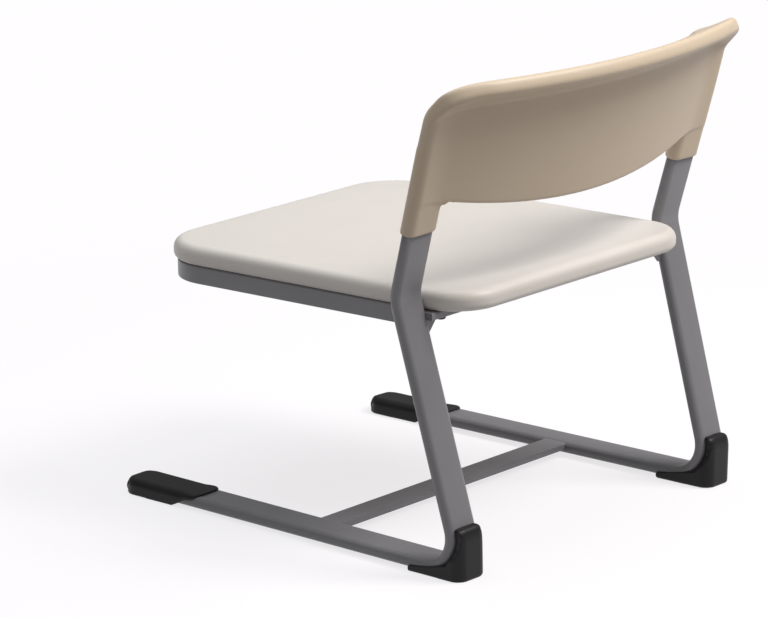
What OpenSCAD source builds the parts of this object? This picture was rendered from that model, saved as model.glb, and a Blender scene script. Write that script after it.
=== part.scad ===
// Cantilever school chair. Two bent flat-oval side frames stand on floor runners. A flat bar on the
// floor and a seat frame join them. The seat and the back are moulded, and the back has two sleeves
// that push over the tops of the posts.
// Millimetres. +Z is up, the chair faces -Y and the sitter's left is +X. The origin is on the floor,
// under the middle of the chair's outline.

/* [Side frames] */
// Width of the flat-oval tube, across the chair
tube_w = 41; // [38:0.5:46]
// Thickness of the tube, in the plane that it is bent in
tube_t = 13; // [12:0.5:16]
// Wall of the tube
tube_wall = 2; // [1.5:0.1:2.3]
// Distance between the two tubes' centres at the back of the floor
track = 427; // [410:1:450]
// Angle by which each runner draws in towards the front
toe_in = 1.15; // [0:0.05:2.4]
// Angle by which each side frame leans outwards
splay = 1.7; // [0:0.1:2.4]
// Lean of the lower upright towards the front, from vertical
upright_lean = 16.3; // [12:0.1:20]
// Lean of the post towards the back, from vertical
post_lean = 14.9; // [10:0.1:18]
// Height of the kink between upright and post
kink_h = 287; // [280:1:310]
// Bend radius at the floor, on the tube's centre line
floor_bend_r = 26; // [22:1:34]
// Bend radius at the kink, on the tube's centre line
kink_bend_r = 40; // [30:1:60]
// Length of the chair from the front foot's nose to the back corner of the side frame
base_l = 477; // [440:1:520]

/* [Feet] */
// Thickness of the soles under the runners
sole_t = 2.5; // [2:0.1:4]
// Wall of the feet beside and above the tube
foot_wall = 2; // [1.6:0.1:3]
// Length of the front foot on top
front_foot_l = 110; // [95:1:130]
// Length of the front foot's sole
front_sole_l = 72; // [60:1:85]
// Plastic ahead of the end of the runner
nose_t = 9; // [7:0.5:12]
// Corner radius of the front foot's nose, seen from above
nose_r = 18; // [10:0.5:20]
// Length of the rear foot's strip under the runner
rear_strip_l = 65; // [50:1:80]
// Distance that the heel stands out behind the back corner of the side frame
heel_out = 5.8; // [4:0.2:10]
// Height of the heel
heel_h = 58; // [54:1:64]
// Corner radius of the heel, seen from above
heel_r = 15; // [10:0.5:18]

/* [Flat bars] */
// Width of the flat bars, front to back
bar_w = 30; // [26:1:36]
// Thickness of the flat bars
bar_t = 8; // [6:0.5:10]
// Distance of the floor bar ahead of the back corner of the side frame
floor_bar_y = 206; // [160:1:260]

/* [Seat frame] */
// Height of the underside of the seat at the rear bar
seat_frame_h = 268; // [260:0.5:272]
// Angle by which the seat rises towards its front
seat_tilt = -1.2; // [-2:0.1:3]
// Width of the seat rail's tube
rail_w = 20; // [16:1:24]
// Height of the seat rail's tube
rail_h = 20; // [16:1:24]
// Wall of the seat rail's tube
rail_wall = 1.5; // [1.2:0.1:2]
// Outer corner radius of the seat rail, seen from above
rail_bend_r = 61; // [54:1:72]
// Distance that the seat stands out past the rail
rail_inset = 4; // [3:0.5:8]
// Length of the front mounting tabs inside the rail
tab_l = 28; // [24:1:36]
// Distance of the front mounting tabs behind the front of the rail
tab_inset = 82; // [78:1:120]

/* [Seat] */
// Gap between the seat and the upright on each side
seat_gap = 1.5; // [1:0.5:10]
// Depth of the seat
seat_d = 437; // [420:1:450]
// Thickness of the seat at its edge
seat_t = 22; // [20:0.5:26]
// Distance of the seat's back edge behind the middle of the rear bar
seat_back = 53; // [44:1:62]
// Corner radius at the front of the seat
seat_front_r = 65; // [50:1:66]
// Corner radius at the back of the seat
seat_rear_r = 53; // [30:1:70]
// Depth of the dish in the top of the seat
seat_dish = 3; // [0:0.5:6]

/* [Back] */
// Height of the lower ends of the sleeves above the kink
sleeve_gap = 71; // [60:1:80]
// Wall of the sleeves around the posts
back_wall = 2.5; // [2:0.1:3]
// Length of post inside each sleeve
post_grip = 90; // [60:1:95]
// Height of the back along its lean, from the sleeves' ends to the rolled lip
back_rise = 123; // [118:1:150]
// Thickness of the panel between the sleeves
panel_t = 12; // [9:0.5:16]
// Bow of the back towards the rear, seen from above
back_bow = 36; // [24:1:46]
// Radius of the rounded edge of the lip
lip_r = 9.5; // [7:0.5:10]
// Bend radius of the lip
lip_bend_r = 36; // [26:1:40]
// Angle by which the lip turns back
lip_turn = 42; // [24:1:54]
// Straight length of the lip past its bend
lip_run = 27; // [14:1:30]
// Radius of the back's top corners, seen from behind
top_corner_r = 42; // [24:1:60]
// Height of the notch beside each sleeve above the sleeve's end
notch_h = 36; // [34:1:50]
// Distance that the middle of the lower edge hangs below the notches
belly = 19; // [8:1:20]
// Corner radius of the notches
notch_r = 9; // [6:0.5:14]

/* [Fasteners] */
// Diameter of the seat screws
screw_d = 5; // [4:0.5:6]
// Diameter of the seat screws' heads
screw_head_d = 11; // [9:0.5:12]
// Height of the seat screws' heads
screw_head_t = 4; // [3:0.5:5]
// Diameter of the threaded inserts in the seat
insert_d = 8; // [7.5:0.5:10]
// Length of the threaded inserts
insert_l = 12; // [9:1:14]
// Diameter of the feet's rivets and the back's screws
rivet_d = 4; // [3.5:0.1:4.5]
// Gap between moulded parts and the tubes that they sit on
fit_gap = 0.2; // [0.1:0.05:0.3]

/* [Hidden] */
$fn = 64;

// One overrun for every cut, and the small gap round a pin or an insert in its hole
over = 5;
pin_gap = 0.15;

// Side frame, in its own plane: x runs back and y runs up, from the back corner on the floor
runner_z = sole_t + tube_t / 2;
kink = [-(kink_h - runner_z) * tan(upright_lean), kink_h];
floor_tangent = floor_bend_r / tan((90 - upright_lean) / 2);
kink_tangent = kink_bend_r * tan((upright_lean + post_lean) / 2);
floor_centre = [-floor_tangent, runner_z + floor_bend_r];
kink_centre = kink + kink_tangent * [sin(upright_lean), -cos(upright_lean)]
              + kink_bend_r * [cos(upright_lean), sin(upright_lean)];
post_dir = [sin(post_lean), cos(post_lean)];
sleeve_at = sleeve_gap / cos(post_lean);
runner_end = base_l - nose_t;
plug_cap_t = 2;
plug_l = 12;
tube_steps = 12;
floor_bend_steps = 14;
kink_bend_steps = 6;

// Feet
foot_w = tube_w + 2 * (fit_gap + foot_wall);
foot_h = sole_t + tube_t + fit_gap + foot_wall;
front_rivet_in = 47;
front_rivet_x = base_l - front_rivet_in;
rear_rivet_x = 46;
heel_mid_h = heel_h * 0.7;
heel_top_wall = 3.5;
heel_top_r = 3;
rivet_head_d = 2 * rivet_d;
rivet_head_t = 0.3 * rivet_d;
rivet_tail_l = rivet_d;
sole_recess = rivet_head_t + fit_gap;

// Seat frame, from the middle of the rear bar: x across, y back, z up from the seat's underside
rear_bar_x = (seat_frame_h - bar_t / 2 - runner_z) * tan(upright_lean);
nose_x = track / 2 + seat_frame_h * sin(splay) - rear_bar_x * sin(toe_in) - tube_w / 2;
seat_x = nose_x - seat_gap;
seat_front = seat_d - seat_back;
rail_x = seat_x - rail_inset;
rail_front = seat_front - rail_inset;
rail_mid_r = rail_bend_r - rail_w / 2;
rail_edge_r = 1.25 * rail_wall;
cope = tube_t / 2;
tab_t = 3;
tab_w = 26;
tab_y = rail_front - tab_inset;
tab_hole_x = rail_x - rail_w - tab_l * 0.54;
rear_hole = [nose_x - 26, 2];
screw_spots = [[rear_hole[0], rear_hole[1], bar_t], [tab_hole_x, -tab_y, tab_t]];
screw_hole_d = screw_d + 1;
screw_tip = insert_l - 2;
washer_t = 1;
washer_d = screw_head_d + 3;
gusset_l = 17;
gusset_t = 4;
gusset_back = 3;

// Seat
seat_bottom_r = seat_t * 0.34;
seat_top_r = seat_t * 0.5;
seat_corner_min = 4;
corner_steps = 8;
dish_inset_shares = [0.08, 0.18, 0.34, 0.56];
dish_depth_shares = [0.06, 0.3, 0.72, 1];
weld_pad_l = 66;
weld_pad_w = 15;
weld_pad_depth = seat_t * 0.35;
weld_pad_pitch = [92, 62];

// Back
sleeve_w = tube_w + 2 * (fit_gap + back_wall);
sleeve_t = tube_t + 2 * (fit_gap + back_wall);
collar = 1;
sleeve_root = 3;
column_h = sleeve_t / 2 + collar;
sleeve_foot = kink + sleeve_at * post_dir;
post_top = sleeve_foot + post_grip * post_dir;
function sleeve_x(at) = track / 2 + at[1] * sin(splay) + at[0] * sin(toe_in);
back_x = sleeve_x(post_top) + sleeve_w / 2 + collar;
column_x = sleeve_x(sleeve_foot) - sleeve_w / 2;
fan_share = tan(splay) / (track / 2);
panel_x = column_x - 44;
bow_x = column_x + 9;
bow_soft_share = 0.12;
panel_front = panel_t - column_h;
notch_z = sleeve_foot[1] + notch_h;
belly_r = pow(column_x, 2) / (2 * belly);
collar_up = (notch_h - notch_r - 4) / cos(post_lean);
panel_up = (notch_h - belly - 7) / cos(post_lean);
column_in = column_x + 3;
lip_steps = 5;
nose_steps = 6;
end_steps = 5;
back_screw_up = 21;

// Where the chair lies between its foremost and its rearmost point
front_reach = (base_l - nose_r) * cos(toe_in) + (foot_w / 2 - nose_r) * sin(toe_in) + nose_r;
back_y = (front_reach - max([for (p = back_ring(0)) p[1]])) / 2;

// A flat-oval outline: thickness along x, width along y
module oval(w, t) {
    square([t, w - t], center = true);
    for (s = [-1, 1])
        translate([0, s * (w - t) / 2]) circle(d = t);
}

// A rectangle with round corners
module round_rect(w, h, r) {
    square([w - 2 * r, h], center = true);
    square([w, h - 2 * r], center = true);
    for (sx = [-1, 1], sy = [-1, 1])
        translate([sx * (w / 2 - r), sy * (h / 2 - r)]) circle(r);
}

// The tube's outline, grown or shrunk all round
module tube_outline(grow = 0) {
    oval(tube_w + 2 * grow, tube_t + 2 * grow);
}

// A straight length of the outline given, in the frame's plane
module straight(from, angle, length) {
    translate([from[0], from[1], 0]) rotate([0, 0, angle]) rotate([90, 0, 90])
        linear_extrude(length) children();
}

// Faces of a solid lofted through rings of the same number of points
function loft_faces(rings, points) = concat(
    [[for (i = [0 : points - 1]) i]],
    [for (r = [0 : rings - 2], i = [0 : points - 1], half = [0, 1])
        let (j = (i + 1) % points, a = r * points, b = (r + 1) * points)
        half == 0 ? [a + i, b + i, b + j] : [a + i, b + j, a + j]],
    [[for (i = [points - 1 : -1 : 0]) (rings - 1) * points + i]]);

// The tube's outline as points: in the plane it is bent in, and across it
function oval_points(grow) =
    [for (s = [1, -1], i = [0 : tube_steps])
        let (a = (s > 0 ? 0 : 180) + 180 * i / tube_steps, r = tube_t / 2 + grow)
        [r * cos(a), s * (tube_w - tube_t) / 2 + r * sin(a)]];

// Stations along the side frame's centre line: its two ends and its two bends, each with the
// direction that the tube runs in
function tube_stations(past) = concat(
    [[-runner_end - past, runner_z, 0]],
    [for (i = [0 : floor_bend_steps]) let (a = -90 + (90 + upright_lean) * i / floor_bend_steps)
        [floor_centre[0] + floor_bend_r * cos(a), floor_centre[1] + floor_bend_r * sin(a), a + 90]],
    [for (i = [0 : kink_bend_steps])
        let (a = 180 + upright_lean - (upright_lean + post_lean) * i / kink_bend_steps)
        [kink_centre[0] + kink_bend_r * cos(a), kink_centre[1] + kink_bend_r * sin(a), a - 90]],
    [[post_top[0] + past * post_dir[0], post_top[1] + past * post_dir[1], 90 - post_lean]]);

// The side frame as one solid along its centre line, grown or shrunk, and run on past its ends
module side_tube(grow = 0, past = 0) {
    rings = [for (t = tube_stations(past))
        [for (q = oval_points(grow)) [t[0] - q[0] * sin(t[2]), t[1] + q[0] * cos(t[2]), q[1]]]];
    polyhedron([for (r = rings) for (p = r) p], loft_faces(len(rings), len(rings[0])));
}

// Puts a thing from the frame's plane on the left (1) or the right (-1) of the chair
module on_side(s) {
    mirror([s < 0 ? 1 : 0, 0, 0]) translate([track / 2, back_y, 0]) rotate([0, 0, -toe_in])
        rotate([0, splay, 0]) rotate([90, 0, 90]) children();
}

// Puts a thing from the seat's frame in its place
module on_seat() {
    translate([0, back_y - rear_bar_x, seat_frame_h]) rotate([-seat_tilt, 0, 0]) children();
}

// An upright hole or pin in the frame's plane, from one height to another
module upright_pin(x, d, from, to) {
    translate([x, from, 0]) rotate([-90, 0, 0]) cylinder(d = d, h = to - from);
}

// A hole or pin square to the post's front face, at a height along the sleeve
module post_pin(up, d, from, to) {
    at = sleeve_foot + up * post_dir;
    translate([at[0], at[1], 0]) rotate([0, 0, 180 - post_lean]) translate([from, 0, 0])
        rotate([0, 90, 0]) cylinder(d = d, h = to - from);
}

// Side frame: one tube, with holes for its rivets and its screw
module side_frame(s) {
    color([0.42, 0.42, 0.44]) on_side(s) difference() {
        side_tube();
        side_tube(-tube_wall, over);
        for (x = [front_rivet_x, rear_rivet_x])
            upright_pin(-x, rivet_d + 2 * pin_gap, 0, runner_z);
        post_pin(back_screw_up, rivet_d + 2 * pin_gap, 0, tube_t);
    }
}
module side_frame_left() { side_frame(1); }
module side_frame_right() { side_frame(-1); }

// A flat bar along X with its ends shaped to the tubes
module flat_bar(half) {
    rotate([90, 0, 90]) linear_extrude(2 * half, center = true)
        round_rect(bar_w, bar_t, bar_t * 0.24);
}

// Bar on the floor between the runners, its top just below theirs
module floor_bar() {
    mid_x = track / 2 - floor_bar_y * sin(toe_in);
    top_gap = tube_t * 0.03;
    color([0.44, 0.44, 0.46]) difference() {
        translate([0, back_y - floor_bar_y, sole_t + tube_t - top_gap - bar_t / 2])
            flat_bar(mid_x - tube_w / 2 + cope);
        for (s = [-1, 1]) on_side(s) side_tube();
    }
}

// Bar under the back of the seat, between the uprights
module rear_seat_bar() {
    color([0.44, 0.44, 0.46]) difference() {
        on_seat() translate([0, 0, -bar_t / 2]) flat_bar(nose_x + cope / 2);
        for (s = [-1, 1]) on_side(s) side_tube();
        on_seat() for (s = [-1, 1])
            translate([s * rear_hole[0], rear_hole[1], -bar_t - over])
                cylinder(d = screw_hole_d, h = bar_t + 2 * over);
    }
}

// Small plates that stiffen the corners between the rear bar and the uprights
module gusset_plates() {
    color([0.44, 0.44, 0.46]) difference() {
        on_seat() for (s = [-1, 1])
            translate([0, gusset_back, -bar_t]) mirror([s < 0 ? 1 : 0, 0, 0]) rotate([90, 0, 0])
                linear_extrude(gusset_t, center = true)
                    polygon([[nose_x - gusset_l, 0], [nose_x + cope / 2, 0],
                             [nose_x + cope / 2, -gusset_l], [nose_x - gusset_l * 0.1, -gusset_l]]);
        for (s = [-1, 1]) on_side(s) side_tube();
    }
}

// The rail's outline, hollow
module rail_outline() {
    difference() {
        round_rect(rail_w, rail_h, rail_edge_r);
        square([rail_w - 2 * rail_wall, rail_h - 2 * rail_wall], center = true);
    }
}

// Seat rail: a U of square tube under the edge of the seat, its ends closed and welded to the bar
module seat_rail() {
    leg_x = rail_x - rail_w / 2;
    front_y = rail_front - rail_w / 2;
    leg_l = front_y - rail_mid_r - bar_w / 2;
    front_l = 2 * (leg_x - rail_mid_r);
    color([0.40, 0.40, 0.42]) on_seat() translate([0, 0, -rail_h / 2]) {
        translate([0, -front_y, 0]) rotate([90, 0, 90])
            linear_extrude(front_l, center = true) rail_outline();
        for (s = [-1, 1]) mirror([s < 0 ? 1 : 0, 0, 0]) {
            translate([leg_x, -bar_w / 2, 0]) rotate([90, 0, 0])
                linear_extrude(leg_l) rail_outline();
            translate([leg_x, -bar_w / 2, 0]) rotate([90, 0, 0])
                linear_extrude(rail_wall) round_rect(rail_w, rail_h, rail_edge_r);
            translate([leg_x - rail_mid_r, -front_y + rail_mid_r, 0]) rotate([0, 0, -90])
                rotate_extrude(angle = 90) translate([rail_mid_r, 0]) rail_outline();
        }
    }
}

// Front mounting tabs, welded inside the rail
module seat_tabs() {
    inner_x = rail_x - rail_w;
    color([0.40, 0.40, 0.42]) on_seat() for (s = [-1, 1])
        mirror([s < 0 ? 1 : 0, 0, 0]) translate([0, -tab_y, -tab_t]) difference() {
            linear_extrude(tab_t) {
                translate([inner_x - tab_l + tab_w / 2, 0]) circle(d = tab_w);
                translate([inner_x - tab_l + tab_w / 2, -tab_w / 2])
                    square([tab_l - tab_w / 2, tab_w]);
            }
            translate([tab_hole_x, 0, -over]) cylinder(d = screw_hole_d, h = tab_t + 2 * over);
        }
}

// One closed ring of the seat, drawn in from its outline
function corner_arc(cx, cy, r, from) =
    [for (i = [0 : corner_steps]) let (a = from + 90 * i / corner_steps)
        [cx + r * cos(a), cy + r * sin(a)]];
function seat_outline(inset) =
    let (rf = max(seat_front_r - inset, seat_corner_min),
         rr = max(seat_rear_r - inset, seat_corner_min),
         x = seat_x - inset, yf = seat_front - inset, yb = seat_back - inset)
    concat(corner_arc(x - rr, yb - rr, rr, 0), corner_arc(-x + rr, yb - rr, rr, 90),
           corner_arc(-x + rf, -yf + rf, rf, 180), corner_arc(x - rf, -yf + rf, rf, 270));

// The seat's edge and dish as pairs of inset and height, from the underside to the middle
seat_profile = concat(
    [for (i = [0 : 4]) let (a = 90 * i / 4)
        [seat_bottom_r * (1 - sin(a)), seat_bottom_r * (1 - cos(a))]],
    [for (i = [0 : 6]) let (a = 90 * i / 6)
        [seat_top_r * (1 - cos(a)), seat_t - seat_top_r * (1 - sin(a))]],
    [for (i = [0 : len(dish_inset_shares) - 1])
        [seat_top_r + dish_inset_shares[i] * (seat_x - seat_top_r),
         seat_t - seat_dish * dish_depth_shares[i]]]);

module seat_body() {
    rings = [for (p = seat_profile) [for (q = seat_outline(p[0])) [q[0], q[1], p[1]]]];
    polyhedron([for (r = rings) for (p = r) p], loft_faces(len(rings), len(rings[0])));
}

// Seat: a double-walled moulding with its walls welded together in pads underneath
module seat() {
    pads = [for (i = [-1 : 1], j = [-1 : 1])
        [i * weld_pad_pitch[0], -(seat_front - seat_back) / 2 + j * weld_pad_pitch[1]]];
    color([0.84, 0.83, 0.80]) on_seat() difference() {
        seat_body();
        for (p = pads) translate([p[0], p[1], -over]) linear_extrude(weld_pad_depth + over) {
            square([weld_pad_l - weld_pad_w, weld_pad_w], center = true);
            for (s = [-1, 1])
                translate([s * (weld_pad_l - weld_pad_w) / 2, 0]) circle(d = weld_pad_w);
        }
        for (s = [-1, 1], p = screw_spots) translate([s * p[0], p[1], -over])
            cylinder(d = insert_d + 2 * pin_gap, h = insert_l + pin_gap + over);
    }
}

// Threaded inserts in the underside of the seat
module seat_inserts() {
    color([0.78, 0.62, 0.32]) on_seat() for (s = [-1, 1], p = screw_spots)
        translate([s * p[0], p[1], 0]) difference() {
            cylinder(d = insert_d, h = insert_l);
            translate([0, 0, -over]) cylinder(d = screw_d + 2 * pin_gap, h = insert_l + 2 * over);
        }
}

// Seat screws with a six-sided socket, and their washers
module seat_screws() {
    socket = screw_head_d * 0.45;
    color([0.10, 0.10, 0.11]) on_seat() for (s = [-1, 1], p = screw_spots)
        translate([s * p[0], p[1], -p[2] - washer_t]) {
            cylinder(d = screw_d, h = p[2] + washer_t + screw_tip);
            difference() {
                rotate([180, 0, 0]) {
                    cylinder(d = screw_head_d, h = screw_head_t * 0.6);
                    translate([0, 0, screw_head_t * 0.6])
                        cylinder(d1 = screw_head_d, d2 = screw_head_d * 0.8,
                                 h = screw_head_t * 0.4, $fn = 64);
                }
                translate([0, 0, -screw_head_t - over])
                    cylinder(d = socket, h = screw_head_t * 0.6 + over, $fn = 6);
            }
        }
}
module seat_washers() {
    color([0.12, 0.12, 0.13]) on_seat() for (s = [-1, 1], p = screw_spots)
        translate([s * p[0], p[1], -p[2] - washer_t]) difference() {
            cylinder(d = washer_d, h = washer_t);
            translate([0, 0, -over]) cylinder(d = screw_hole_d, h = washer_t + 2 * over);
        }
}

// How far the back bows behind its sleeves at a distance from the middle, flat over the sleeves
function eased(t) = (t + sqrt(t * t + bow_soft_share * bow_soft_share)) / 2;
function bow(x) = back_bow * eased(1 - pow(x / bow_x, 2));
function smooth(t) = let (c = min(max(t, 0), 1)) c * c * (3 - 2 * c);
function mix(a, b, t) = a + (b - a) * t;

// The middle line of the back in its upright plane, as [y, z, direction from vertical]
function rise_at(s) = [sleeve_foot[0] * cos(toe_in) + s * sin(post_lean),
                       sleeve_foot[1] + s * cos(post_lean), post_lean];
function lip_at(turn, run) =
    let (p = rise_at(back_rise), a = post_lean + turn)
    [p[0] + lip_bend_r * (cos(post_lean) - cos(a)) + run * sin(a),
     p[1] + lip_bend_r * (sin(a) - sin(post_lean)) + run * cos(a), a];

// A point beside the middle line, off it at an angle from its rear side
function beside(x, m, off, around = 0) =
    [x, m[0] + off * cos(m[2] + around) + bow(x), m[1] - off * sin(m[2] + around)];

// One closed ring of the back: up its rear face, over the lip and down its front face
function back_ring(x) =
    let (a = abs(x),
         end = sqrt(1 - pow(min(max(a - back_x + column_h, 0) / column_h, 1), 2)),
         corner = sqrt(1 - pow(min(max(a - back_x + top_corner_r, 0) / top_corner_r, 1), 2)),
         column = smooth((a - panel_x) / (column_x - panel_x)),
         rear = column_h * end,
         front = mix(panel_front, column_h + bow(x), column) * end,
         round = mix(column_h, lip_r, corner) * end,
         turn = lip_turn * corner,
         run = lip_run * corner,
         tip = lip_at(turn, run),
         low = mix(panel_up, collar_up, column),
         rises = [low, mix(low, back_rise, 0.5), back_rise])
    concat([for (s = rises) beside(x, rise_at(s), rear)],
           [for (i = [1 : lip_steps]) beside(x, lip_at(turn * i / lip_steps, 0),
                                             mix(rear, round, i / lip_steps))],
           [for (i = [0 : nose_steps]) beside(x, tip, round, -180 * i / nose_steps)],
           [for (i = [lip_steps : -1 : 1]) beside(x, lip_at(turn * i / lip_steps, 0),
                                                  -mix(front, round, i / lip_steps))],
           [for (i = [2 : -1 : 0]) beside(x, rise_at(rises[i]), -front)]);

// Places of the back's rings on one side, from the middle out
back_half = concat(
    [for (i = [1 : 7]) panel_x * i / 7],
    [for (i = [1 : 6]) mix(panel_x, column_in, i / 6)],
    [for (i = [1 : 5]) mix(column_in, back_x - column_h, i / 5)],
    [for (i = [1 : end_steps]) back_x - column_h + column_h * sin(80 * i / end_steps)]);
back_places = concat([for (i = [len(back_half) - 1 : -1 : 0]) -back_half[i]], [0], back_half);

// The back's bowed panel and rolled lip, without its sleeves, fanned out like the posts
function fanned(p) = [p[0] * (1 + fan_share * (p[2] - post_top[1])), p[1] + back_y, p[2]];
module back_body() {
    rings = [for (x = back_places) [for (p = back_ring(x)) fanned(p)]];
    polyhedron([for (r = rings) for (p = r) p], loft_faces(len(rings), len(rings[0])));
}

// What is cut away below the lower edge, seen from behind
module below_lower_edge() {
    low = notch_z - 2 * notch_h;
    difference() {
        translate([-column_x, low]) square([2 * column_x, notch_z - notch_r - low]);
        translate([0, notch_z - belly + belly_r]) circle(belly_r, $fn = 360);
    }
    difference() {
        union() {
            translate([-column_x + notch_r, low])
                square([2 * (column_x - notch_r), notch_z - low]);
            for (s = [-1, 1])
                translate([s * (column_x - notch_r), notch_z - notch_r]) circle(notch_r);
        }
        translate([0, notch_z - belly + belly_r]) circle(belly_r, $fn = 360);
    }
}

// Back: the panel with its lip, and two sleeves that take the posts
module backrest() {
    reach = back_bow + 2 * lip_run + 4 * column_h;
    color([0.80, 0.74, 0.65]) difference() {
        union() {
            difference() {
                back_body();
                translate([0, back_y, 0]) rotate([90, 0, 0])
                    linear_extrude(4 * reach, center = true) below_lower_edge();
            }
            for (s = [-1, 1]) on_side(s)
                straight(sleeve_foot, 90 - post_lean, collar_up + sleeve_root)
                    oval(sleeve_w, sleeve_t);
        }
        for (s = [-1, 1]) on_side(s) {
            straight(sleeve_foot - over * post_dir, 90 - post_lean, post_grip + over + plug_cap_t
                     + fit_gap)
                tube_outline(fit_gap);
            post_pin(back_screw_up, rivet_d + 2 * pin_gap, 0, sleeve_t);
        }
    }
}

// Screws through the front of the sleeves into the posts
module backrest_screws() {
    color([0.12, 0.12, 0.13]) for (s = [-1, 1]) on_side(s) {
        post_pin(back_screw_up, rivet_d, tube_t / 2 - tube_wall - rivet_tail_l * 0.5,
                 sleeve_t / 2);
        post_pin(back_screw_up, rivet_head_d, sleeve_t / 2, sleeve_t / 2 + rivet_head_t);
    }
}

// A plug for an open end of the tube
module tube_plug() {
    inner = tube_wall + fit_gap;
    linear_extrude(plug_cap_t) oval(tube_w, tube_t);
    translate([0, 0, -plug_l]) linear_extrude(plug_l) oval(tube_w - 2 * inner, tube_t - 2 * inner);
}
module post_plug(s) {
    color([0.15, 0.15, 0.16]) on_side(s) translate([post_top[0], post_top[1], 0])
        rotate([0, 0, 90 - post_lean]) rotate([90, 0, 90]) tube_plug();
}
module post_plug_left() { post_plug(1); }
module post_plug_right() { post_plug(-1); }
module runner_plugs() {
    color([0.15, 0.15, 0.16]) for (s = [-1, 1]) on_side(s) translate([-runner_end, runner_z, 0])
        rotate([0, 0, 180]) rotate([90, 0, 90]) tube_plug();
}

// A foot's outline from above, drawn over its height in the frame's plane
module foot_plan(from, to, r_from, r_to) {
    translate([0, -sole_t, 0]) rotate([-90, 0, 0]) linear_extrude(sole_t + heel_h + over) {
        translate([from + r_from, -foot_w / 2]) square([to - from - r_from - r_to, foot_w]);
        translate([from, -foot_w / 2 + r_from]) square([2 * r_from, foot_w - 2 * r_from]);
        translate([to - 2 * r_to, -foot_w / 2 + r_to]) square([2 * r_to, foot_w - 2 * r_to]);
        for (s = [-1, 1]) {
            translate([from + r_from, s * (foot_w / 2 - r_from)]) circle(r_from);
            translate([to - r_to, s * (foot_w / 2 - r_to)]) circle(r_to);
        }
    }
}

// What is under the floor: the feet lean outwards, and their soles are cut level
module below_floor() {
    translate([0, 0, -track / 2]) cube([2 * track, 4 * track, track], center = true);
}

// The hole that a foot's rivet and its sunk head need
module rivet_hole(x) {
    upright_pin(-x, rivet_d + 2 * pin_gap, -over, runner_z);
    upright_pin(-x, rivet_head_d + 2 * pin_gap, -over, sole_recess);
}

// Front foot: a glide over the end of the runner, with a round nose and a long tongue on top
module front_foot(s) {
    top_r = foot_h * 0.42;
    color([0.09, 0.08, 0.09]) difference() {
        on_side(s) difference() {
            intersection() {
                linear_extrude(foot_w, center = true) difference() {
                    union() {
                        translate([-base_l + top_r, -sole_t])
                            square([front_foot_l - top_r, sole_t + foot_h]);
                        translate([-base_l, -sole_t])
                            square([2 * top_r, sole_t + foot_h - top_r]);
                        translate([-base_l + top_r, foot_h - top_r]) circle(top_r);
                    }
                    polygon([[-base_l + front_sole_l, -over], [-base_l + front_sole_l, 0],
                             [-base_l + front_foot_l, foot_h], [-base_l + front_foot_l + over, foot_h],
                             [-base_l + front_foot_l + over, -over]]);
                }
                foot_plan(-base_l, -base_l + front_foot_l, nose_r, foot_wall);
            }
            straight([-runner_end - plug_cap_t - fit_gap, runner_z], 0, front_foot_l)
                tube_outline(fit_gap);
            rivet_hole(front_rivet_x);
        }
        below_floor();
    }
}
module front_foot_left() { front_foot(1); }
module front_foot_right() { front_foot(-1); }

// The rear foot from the side: a strip, and a heel that closes in on the upright at its top
module heel_outline() {
    top_x = (runner_z - heel_h) * tan(upright_lean) + tube_t / 2 + heel_top_wall - heel_top_r;
    translate([-rear_strip_l, -sole_t]) square([rear_strip_l + heel_out, sole_t + heel_mid_h]);
    hull() {
        translate([-heel_top_r, heel_mid_h - heel_top_r])
            square([heel_top_r + heel_out, heel_top_r]);
        translate([top_x, heel_h - heel_top_r]) circle(heel_top_r);
    }
}

// Rear foot: a strip under the runner and a heel behind the bend, open at the sides of the tube
module rear_foot(s) {
    open_r = heel_h * 0.67;
    open_at = [-open_r, runner_z + open_r];
    color([0.09, 0.08, 0.09]) difference() {
        on_side(s) difference() {
            intersection() {
                union() {
                    linear_extrude(foot_w, center = true) difference() {
                        heel_outline();
                        translate(open_at) circle(open_r);
                        translate([-rear_strip_l - over, runner_z])
                            square([rear_strip_l + over - open_r, heel_h]);
                        translate([-open_r, open_at[1]])
                            square([2 * open_r, heel_h]);
                    }
                    linear_extrude(tube_w - tube_t, center = true) difference() {
                        heel_outline();
                        polygon([[-rear_strip_l - over, runner_z], [0, runner_z],
                                 [(runner_z - heel_h - over) * tan(upright_lean), heel_h + over],
                                 [-rear_strip_l - over, heel_h + over]]);
                    }
                }
                foot_plan(-rear_strip_l, heel_out, foot_wall, heel_r);
            }
            side_tube(fit_gap);
            rivet_hole(rear_rivet_x);
        }
        below_floor();
    }
}
module rear_foot_left() { rear_foot(1); }
module rear_foot_right() { rear_foot(-1); }

// Rivets from below through the feet into the tube
module foot_rivets(x) {
    color([0.30, 0.30, 0.31]) for (s = [-1, 1]) on_side(s) {
        upright_pin(-x, rivet_d, sole_recess, sole_t + tube_wall + rivet_tail_l);
        upright_pin(-x, rivet_head_d, sole_recess - rivet_head_t, sole_recess);
    }
}
module front_foot_rivets() { foot_rivets(front_rivet_x); }
module rear_foot_rivets() { foot_rivets(rear_rivet_x); }

side_frame_left();
side_frame_right();
floor_bar();
seat_rail();
rear_seat_bar();
gusset_plates();
seat_tabs();
seat();
seat_inserts();
seat_screws();
seat_washers();
backrest();
backrest_screws();
post_plug_left();
post_plug_right();
runner_plugs();
front_foot_left();
front_foot_right();
front_foot_rivets();
rear_foot_left();
rear_foot_right();
rear_foot_rivets();
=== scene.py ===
import math

import bpy
import numpy as np
from mathutils import Matrix, Vector


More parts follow.
